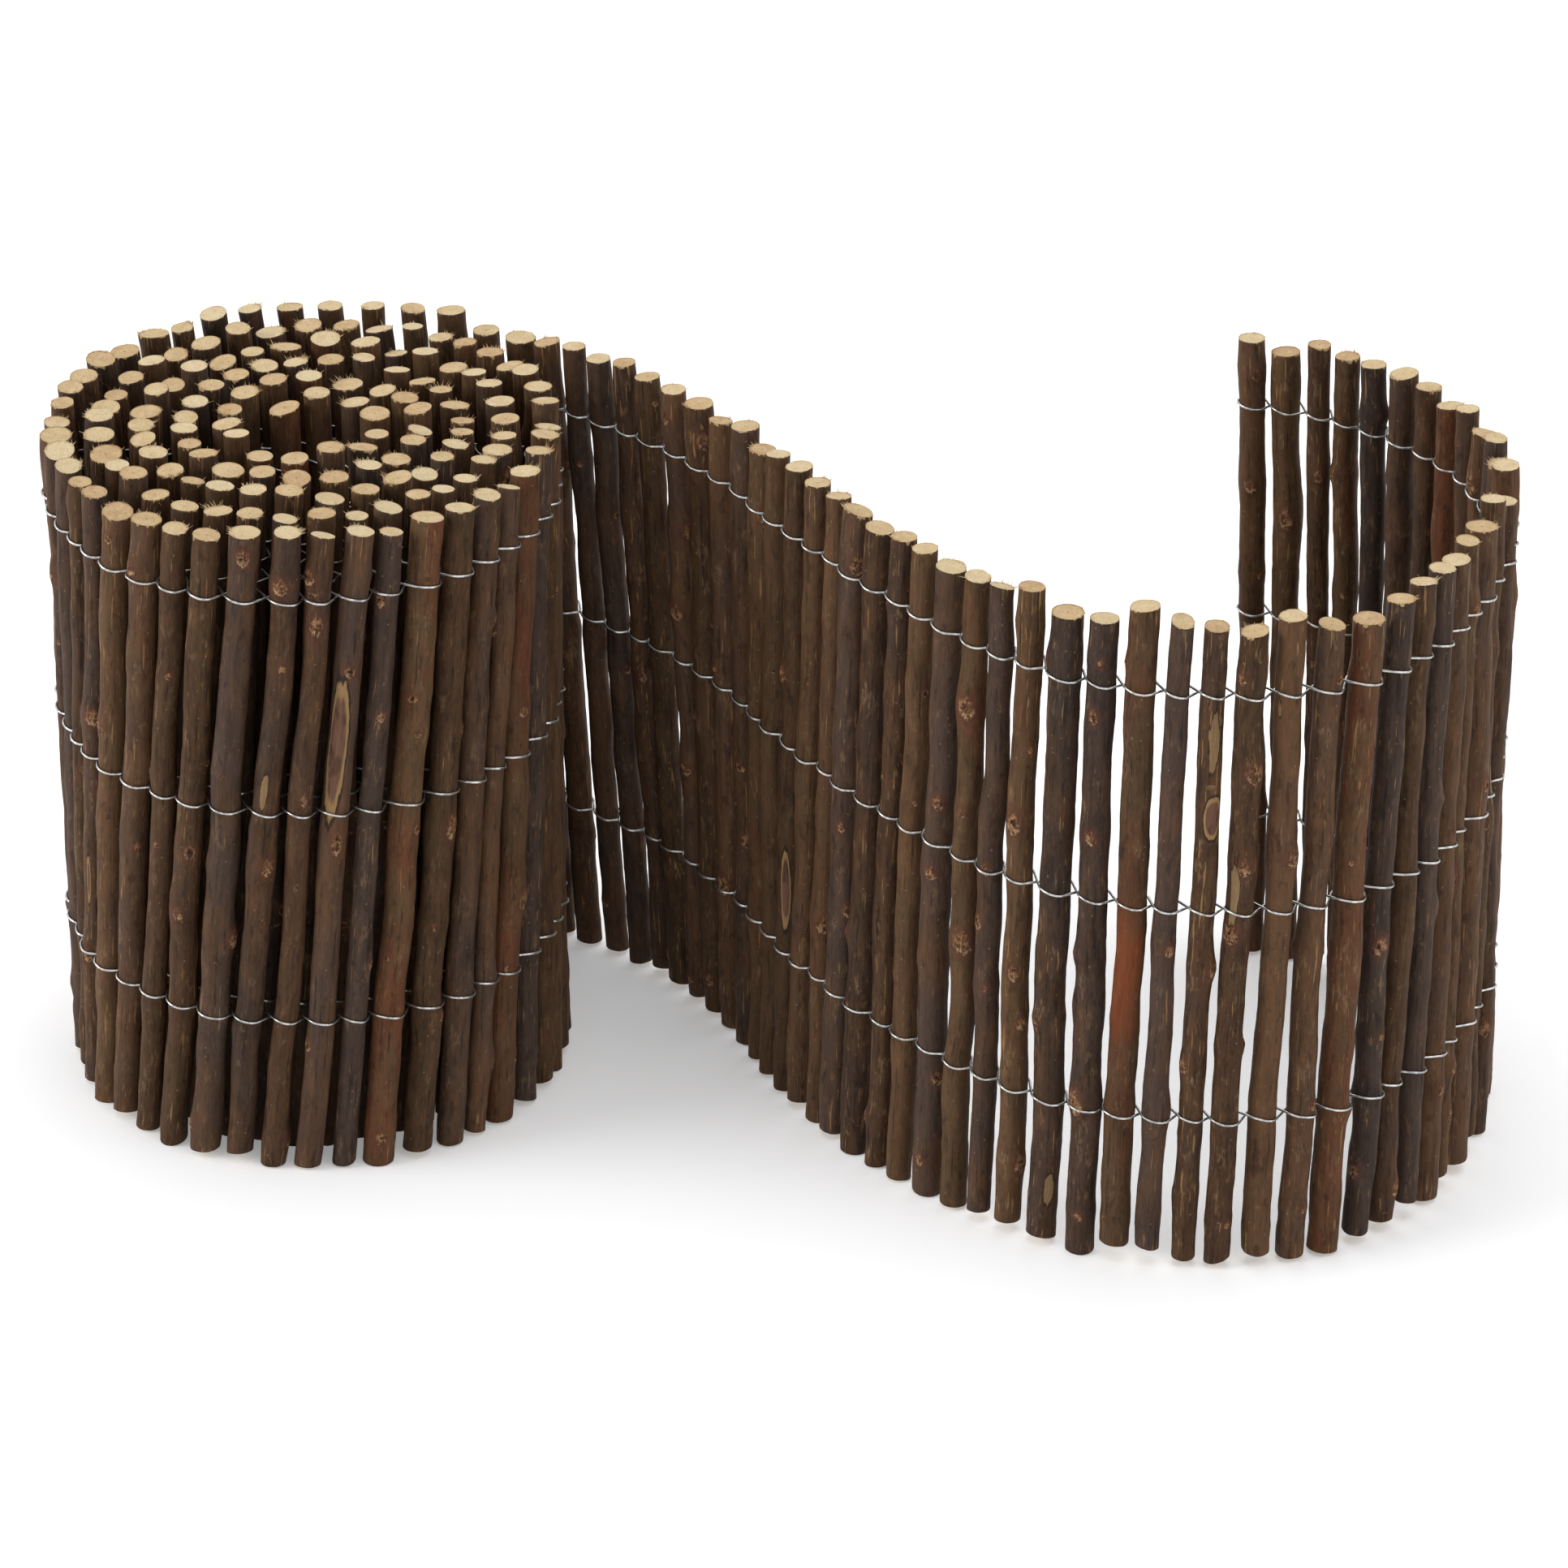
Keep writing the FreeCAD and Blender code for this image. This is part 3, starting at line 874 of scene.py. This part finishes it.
@dataclass
class FrameRods:
    """Rods of the whole roll, read from the frame in order from the free end to the bore."""

    merge_distance: float = 1e-6
    contact_play: float = 0.42
    most_sway: float = 2.0 * MM

    def read(self) -> list[Rod]:
        """Find each rod's foot, head and radius.

        Returns:
            All rods in order along the roll.
        """
        rods: list[Rod] = []
        for stretch in Stretch:
            for corners in self._solids(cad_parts[stretch.value]):
                corners.sort(key=lambda corner: corner.z)
                half = len(corners) // 2
                foot = sum(corners[:half], Vector()) / half
                head = sum(corners[half:], Vector()) / half
                radius = max((corner - foot).length for corner in corners[:half])
                rods.append(Rod(len(rods) + 1, stretch, foot, head, radius))
        self._set_sway(rods)
        return rods

    def _solids(self, node: bpy.types.Object) -> Iterator[list[Vector]]:
        """Yield the corners of each separate solid of a node, in the node's own order."""
        shape = bmesh.new()
        shape.from_mesh(node.data)
        order = shape.verts.layers.int.new("order")
        for vert in shape.verts:
            vert[order] = vert.index
        bmesh.ops.remove_doubles(shape, verts=shape.verts, dist=self.merge_distance)
        left = set(shape.verts)
        solids = []
        while left:
            waiting = [left.pop()]
            found = []
            while waiting:
                vert = waiting.pop()
                found.append(vert)
                for edge in vert.link_edges:
                    other = edge.other_vert(vert)
                    if other in left:
                        left.remove(other)
                        waiting.append(other)
            solids.append((min(vert[order] for vert in found), [vert.co.copy() for vert in found]))
        shape.free()
        for _, corners in sorted(solids, key=lambda item: item[0]):
            yield corners

    def _set_sway(self, rods: list[Rod]) -> None:
        """Let each rod bow by no more than its share of the gaps beside it."""
        for index, rod in enumerate(rods):
            beside = rods[max(index - 1, 0):index + 2]
            gaps = [self._gap(rod, other) for other in beside if other is not rod]
            rod.sway = min(self.most_sway, min(gaps) * self.contact_play)

    @staticmethod
    def _gap(rod: Rod, other: Rod) -> float:
        """Least gap between two rods at their feet and heads."""
        foot = (rod.foot - other.foot).to_2d().length
        head = (rod.head - other.head).to_2d().length
        return min(foot, head) - rod.radius - other.radius


@dataclass(frozen=True)
class Fineness:
    """How finely the rods of a stretch are meshed."""

    sides: int
    ring_spacing: float


SHOWN_WHOLE = Fineness(sides=26, ring_spacing=3.2 * MM)
SHOWN_OUTSIDE = Fineness(sides=20, ring_spacing=3.6 * MM)
SHOWN_AT_TOP = Fineness(sides=18, ring_spacing=9.0 * MM)
INSIDE_COIL = Fineness(sides=18, ring_spacing=22.0 * MM)
FINENESS = {
    Stretch.TURN_1: SHOWN_OUTSIDE,
    Stretch.TURN_2: SHOWN_AT_TOP,
    Stretch.TURN_3: INSIDE_COIL,
    Stretch.TURN_4: INSIDE_COIL,
    Stretch.TURN_5: INSIDE_COIL,
}


@dataclass
class RodStretch:
    """Mesh of the rods of one stretch, with bark on their sides and sawn wood on their ends."""

    stretch: Stretch
    rods: list[Rod]
    materials: tuple[bpy.types.Material, bpy.types.Material]
    end_ring: float = 1.1 * MM
    cap_insets: tuple[float, ...] = (0.06, 0.20, 0.27, 0.25)
    head_reach: float = 12 * MM
    foot_reach: float = 10 * MM
    foot_rim: float = 1.2 * MM
    splinters: int = 28
    splinter_depth: float = 0.15 * MM
    splinter_tip: float = 0.02 * MM
    shortest_splinter: float = 0.1 * MM

    def build(self) -> None:
        """Make the piece and put it in the place of its plain solids."""
        name = f"{self.stretch.value}_in_bark"
        mesh = bpy.data.meshes.new(name)
        whole = bmesh.new()
        for rod in self.rods:
            part = self._one_rod(rod)
            part.to_mesh(mesh)
            part.free()
            whole.from_mesh(mesh)
        whole.to_mesh(mesh)
        whole.free()
        for material in self.materials:
            mesh.materials.append(material)
        piece = add_object(name, mesh)
        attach(piece, BODY)
        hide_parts(self.stretch.value)
        mesh.calc_loop_triangles()
        log.info("%s: %d rods, %d triangles", name, len(self.rods), len(mesh.loop_triangles))

    def _one_rod(self, rod: Rod) -> bmesh.types.BMesh:
        """Make one rod from a unit stick: rings along it, insets on its ends, then its true shape."""
        fineness = FINENESS.get(self.stretch, SHOWN_WHOLE)
        part = bmesh.new()
        bmesh.ops.create_cone(part, cap_ends=True, cap_tris=False, segments=fineness.sides,
                              radius1=1, radius2=1, depth=1)
        rings = max(4, round(rod.length / fineness.ring_spacing))
        upright = [edge for edge in part.edges if abs(edge.verts[0].co.z - edge.verts[1].co.z) > 0.5]
        bmesh.ops.subdivide_edges(part, edges=upright, cuts=rings - 1, use_grid_fill=True)
        caps = [face for face in part.faces if len(face.verts) == fineness.sides]
        for cap in sorted(caps, key=lambda face: face.calc_center_median().z):
            made = [bmesh.ops.inset_region(part, faces=[cap], thickness=inset, use_even_offset=True)
                    for inset in self.cap_insets]
            made.append(bmesh.ops.poke(part, faces=[cap]))
            for face in [face for result in made for face in result["faces"]]:
                face.material_index = SAWN_FACES
        self._shape(part, rod, rings)
        self._add_splinters(part, rod)
        for face in part.faces:
            face.smooth = face.material_index != SAWN_FACES
        return part

    def _shape(self, part: bmesh.types.BMesh, rod: Rod, rings: int) -> None:
        """Move the unit stick's corners to the rod's surface and note where they are on it.

        Args:
            part: the stick.
            rod: the rod.
            rings: how many rings the stick has along it.
        """
        layers = RodLayers(part)
        for vert in part.verts:
            reach = min(1.0, math.hypot(vert.co.x, vert.co.y))
            angle = math.atan2(vert.co.y, vert.co.x)
            height = self._ring_height(rod, rings, vert.co.z + 0.5)
            girth = rod.girth(angle, height)
            at_head = height > rod.length / 2
            near_foot = max(0.0, 1 - height / self.foot_reach)
            height += rod.foot_rise(angle, reach * girth) * near_foot
            near_head = max(0.0, 1 - (rod.length - height) / self.head_reach)
            height -= rod.head_drop(angle, reach * girth) * near_head
            flat = ray(angle) * (girth * reach)
            spot = rod.centre(height) + flat
            if reach < 0.99:
                rough = self._saw_marks(rod, flat)
                spot.z += -rough if at_head else rough
            vert.co = kept_in_box(spot)
            below_head = (rod.length - rod.head_drop(angle, girth)) - height
            rim = min(below_head, height + self.foot_rim)
            layers.write(vert, rod, flat + Vector((0, 0, height)), flat / rod.radius, rim)

    def _ring_height(self, rod: Rod, rings: int, share: float) -> float:
        """Height of a ring of corners, with the rings next to the ends drawn close to them."""
        end_rings = {1: self.end_ring, rings - 1: rod.length - self.end_ring}
        return end_rings.get(round(share * rings), share * rod.length)

    @staticmethod
    def _saw_marks(rod: Rod, flat: Vector) -> float:
        """Depth of the rough sawn face below its edge."""
        coarse = noise.noise(flat * 420 + rod.drift)
        fine = noise.noise(flat * 1300 + rod.drift)
        return max(0.0, (0.16 + coarse * 0.22 + fine * 0.14) * MM)

    def _add_splinters(self, part: bmesh.types.BMesh, rod: Rod) -> None:
        """Stand torn fibres round the far side of the saw cut."""
        chance = random.Random(5200 + rod.number)
        layers = RodLayers(part)
        for _ in range(round(self.splinters * (0.15 + 1.1 * rod.fray))):
            angle = rod.fray_angle + chance.gauss(0, 0.75)
            flat_reach = rod.girth(angle, rod.length) * chance.uniform(0.84, 0.99)
            height = rod.length - rod.head_drop(angle, flat_reach) - self.splinter_depth
            flat = ray(angle) * flat_reach
            outward = ray(angle) * chance.uniform(0.1, 1.5)
            wander = Vector((chance.uniform(-0.5, 0.5), chance.uniform(-0.5, 0.5), 0.7))
            lean = (outward + wander).normalized()
            base = rod.centre(height) + flat
            tall = (0.5 + (1.6 + 2.6 * rod.fray) * chance.random() ** 1.6) * MM
            tall = min(tall, max(self.shortest_splinter, self._headroom(rod, base, lean)))
            place = Matrix.Translation(base + lean * (tall * 0.42))
            turn = lean.to_track_quat("Z", "Y").to_matrix().to_4x4()
            made = bmesh.ops.create_cone(part, cap_ends=True, cap_tris=True, segments=3,
                                         radius1=chance.uniform(0.11, 0.27) * MM,
                                         radius2=self.splinter_tip, depth=tall, matrix=place @ turn)
            for vert in made["verts"]:
                layers.write(vert, rod, flat + Vector((0, 0, height)), flat / rod.radius * 0.8, 0.0)
            for face in {face for vert in made["verts"] for face in vert.link_faces}:
                face.material_index = SAWN_FACES

    @staticmethod
    def _headroom(rod: Rod, base: Vector, lean: Vector) -> float:
        """Longest splinter that stays near the head of its rod and under the roll's highest point."""
        ceiling = min(rod.head.z + 0.9 * MM, CAD_BOX[1][2] - 0.05 * MM)
        return (ceiling - base.z) / max(0.2, lean.z)


def add_object(name: str, data: Any) -> bpy.types.Object:
    """Put a new object with the given mesh, curve, lamp or camera in the scene."""
    made = bpy.data.objects.new(name, data)
    bpy.context.scene.collection.objects.link(made)
    return made


def kept_in_box(spot: Vector, margin: float = 0.0) -> Vector:
    """The same point, or the nearest one that is inside the box of the solids by a margin."""
    low, high = CAD_BOX
    return Vector([min(max(part, least + margin), most - margin)
                   for part, least, most in zip(spot, low, high)])


class RodLayers:
    """Mesh attributes that tell the materials where on its rod a point is."""

    def __init__(self, part: bmesh.types.BMesh) -> None:
        """Make or find the layers."""
        kinds = part.verts.layers
        groups = ((kinds.float_vector, ("grain", "knot", "peel", "across")),
                  (kinds.float_color, ("tint", "wound")),
                  (kinds.float, ("rim",)))
        self.layers = {name: kind.get(name) or kind.new(name) for kind, names in groups for name in names}

    def write(self, vert: bmesh.types.BMVert, rod: Rod, local: Vector, across: Vector,
              rim: float) -> None:
        """Note one point.

        Args:
            vert: the point.
            rod: the rod that it is on.
            local: its place in the rod's frame.
            across: its place on the cross-section, with the bark at about one.
            rim: how far it is from the nearer end.
        """
        peel, wound = rod.nearest(rod.peels, local)
        values = {
            "grain": local + rod.drift * 0.1,
            "knot": rod.nearest(rod.knots, local)[0],
            "peel": peel,
            "wound": wound.colour if wound else PEEL_COLOURS[MarkKind.PEEL],
            "across": across,
            "tint": rod.tint,
            "rim": rim,
        }
        for name, value in values.items():
            vert[self.layers[name]] = value


# Wires


@dataclass
class WireRow:
    """Two strands of wire that hold the rods at one height, twisted half a turn in each gap."""

    row: str
    rods: list[Rod]
    material: bpy.types.Material
    wire_radius: float = 0.55 * MM
    bark_gap: float = 0.03 * MM
    rise: float = -0.95 * MM
    arc_steps: int = 8

    def build(self) -> None:
        """Make both strands and put them in the place of their plain solids."""
        for strand, side in (("first", 1), ("second", -1)):
            node = f"{self.row}_wire_{strand}_strand"
            low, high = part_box(node)
            points = self._points((low.z + high.z) / 2, side)
            piece = self._wire(f"{node}_twisted", points)
            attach(piece, BODY)
            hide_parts(node)
            log.info("%s: %d points", piece.name, len(points))

    def _reach(self, rod: Rod, angle: float, level: float) -> float:
        """Distance from a rod's axis to the middle of the wire at an angle."""
        return rod.girth(angle, level - rod.foot.z) + self.wire_radius + self.bark_gap

    def _points(self, level: float, side: int) -> list[Vector]:
        """Lead a strand round the rods, from the free end to the bore.

        Args:
            level: height of the row.
            side: 1 where the strand runs left of the first rod, seen along the roll, else -1.

        Returns:
            Points of its middle line.
        """
        centres = [rod.centre(level - rod.foot.z).to_2d() for rod in self.rods]
        reaches = [self._reach(rod, 0.0, level) for rod in self.rods]
        entry = (centres[0] - centres[1]).normalized()
        points: list[Vector] = []
        last = len(self.rods) - 1
        for index, rod in enumerate(self.rods):
            leave = -entry
            if index < last:
                leave = crossing_normal(centres[index], centres[index + 1],
                                        reaches[index] + reaches[index + 1], side)
            start = math.atan2(entry.y, entry.x)
            sweep = side * (side * (math.atan2(leave.y, leave.x) - start) % -FULL_TURN)
            for step in range(self.arc_steps + 1):
                share = step / self.arc_steps
                angle = start + sweep * share
                reach = self._reach(rod, angle, level)
                flat = centres[index] + reach * ray(angle).to_2d()
                height = level + side * self.rise * math.cos(math.pi * share)
                points.append(kept_in_box(Vector((flat.x, flat.y, height)), self.wire_radius))
            entry = -leave
            side = -side
        return points

    def _wire(self, name: str, points: list[Vector]) -> bpy.types.Object:
        """Make a round wire of that name along the points."""
        curve = bpy.data.curves.new(name, "CURVE")
        curve.dimensions = "3D"
        curve.bevel_depth = self.wire_radius
        curve.bevel_resolution = 1
        curve.use_fill_caps = True
        spline = curve.splines.new("POLY")
        spline.points.add(len(points) - 1)
        for point, place in zip(spline.points, points):
            point.co = (*place, 1.0)
        spline.use_smooth = True
        shaper = add_object("wire_shaper", curve)
        depsgraph = bpy.context.evaluated_depsgraph_get()
        mesh = bpy.data.meshes.new_from_object(shaper.evaluated_get(depsgraph))
        bpy.data.objects.remove(shaper)
        mesh.name = name
        mesh.materials.clear()
        mesh.materials.append(self.material)
        return add_object(name, mesh)


def crossing_normal(start: Vector, end: Vector, along: float, side: int) -> Vector:
    """Find the normal of the straight run of wire that crosses a gap.

    Args:
        start: middle of the rod before the gap.
        end: middle of the rod after it.
        along: sum of the wire's distances from the two.
        side: 1 or -1, the side that it leaves from.

    Returns:
        The unit normal.
    """
    span = (end - start).normalized()
    share = min(0.999, along / (end - start).length)
    left = Vector((-span.y, span.x))
    return span * share + left * (side * math.sqrt(1 - share * share))


# Studio


@dataclass
class Studio:
    """Camera, floor and soft light."""

    view: Viewpoint
    sensor: float = 36.0
    floor_side: float = 14.0
    floor_drop: float = 0.3 * MM
    floor_glow: float = 0.24
    sky_level: float = 0.47
    key_level: float = 1.65
    top_level: float = 1.25
    fill_level: float = 0.55

    def build(self) -> None:
        """Set up everything that isn't the roll."""
        self._camera()
        self._floor()
        self._world()
        self._sun("key_light", (-1.0, -0.16, 0.43), self.key_level, 35.0)
        self._sun("top_light", (0.10, 0.30, 1.0), self.top_level, 60.0)
        self._sun("fill_light", (0.90, -0.50, 0.60), self.fill_level, 60.0)
        bpy.context.scene.view_settings.view_transform = "Standard"

    def _camera(self) -> None:
        """Stand the camera where the photograph was taken from."""
        data = bpy.data.cameras.new("camera")
        data.sensor_width = self.sensor
        data.lens = self.sensor * self.view.focal_pixels / self.view.photo_side
        data.clip_end = 50.0
        camera = add_object("camera", data)
        camera.location = self.view.place
        camera.rotation_euler = (math.pi / 2 - self.view.pitch, 0, 0)
        bpy.context.scene.camera = camera

    def _floor(self) -> None:
        """Lay a floor that reads white to the camera and keeps the roll's shadow."""
        shape = bmesh.new()
        bmesh.ops.create_grid(shape, x_segments=1, y_segments=1, size=self.floor_side / 2)
        bmesh.ops.translate(shape, verts=shape.verts, vec=(0, 0, -self.floor_drop))
        mesh = bpy.data.meshes.new("floor")
        shape.to_mesh(mesh)
        shape.free()
        graph = Graph(bpy.data.materials.new("white_floor"))
        graph.base = srgb(248, 248, 249)
        glow = graph.blend(graph.shown_directly(), even_grey(0.0), even_grey(self.floor_glow))
        mesh.materials.append(graph.finish({
            "Roughness": 0.9,
            "Specular IOR Level": 0.1,
            "Emission Color": glow,
            "Emission Strength": 1.0,
        }))
        add_object("floor", mesh)

    def _world(self) -> None:
        """Light the roll evenly, with white behind it for the camera and in reflections."""
        world = bpy.data.worlds.new("studio")
        graph = Graph(world)
        sky = graph.blend(graph.shown_directly(), even_grey(self.sky_level), even_grey(1.0))
        light = graph.add("ShaderNodeBackground", None, {"Color": sky, "Strength": 1.0})
        graph.add("ShaderNodeOutputWorld", None, {"Surface": light})
        bpy.context.scene.world = world

    @staticmethod
    def _sun(name: str, toward: Triple, level: float, spread: float) -> None:
        """Light the roll softly from one direction.

        Args:
            name: name of the lamp.
            toward: where the light comes from.
            level: its strength.
            spread: its width in degrees.
        """
        data = bpy.data.lights.new(name, "SUN")
        data.energy = level
        data.angle = math.radians(spread)
        lamp = add_object(name, data)
        lamp.rotation_euler = Vector(toward).to_track_quat("Z", "Y").to_euler()
        lamp.location = toward


def main() -> None:
    """Dress the roll and set up the studio."""
    logging.basicConfig(level=logging.INFO, format="%(message)s")
    view = Viewpoint()
    Studio(view).build()
    rods = FrameRods().read()
    log.info("%d rods in the frame", len(rods))
    MarkPlacer(view).place_all(rods)
    bark_and_wood = (BarkFinish().material(), SawnFinish().material())
    for stretch in Stretch:
        members = [rod for rod in rods if rod.stretch is stretch]
        RodStretch(stretch, members, bark_and_wood).build()
    zinc = WireFinish().material()
    for row in ("lower", "middle", "upper"):
        WireRow(row, rods, zinc).build()


if __name__ == "__main__":
    main()
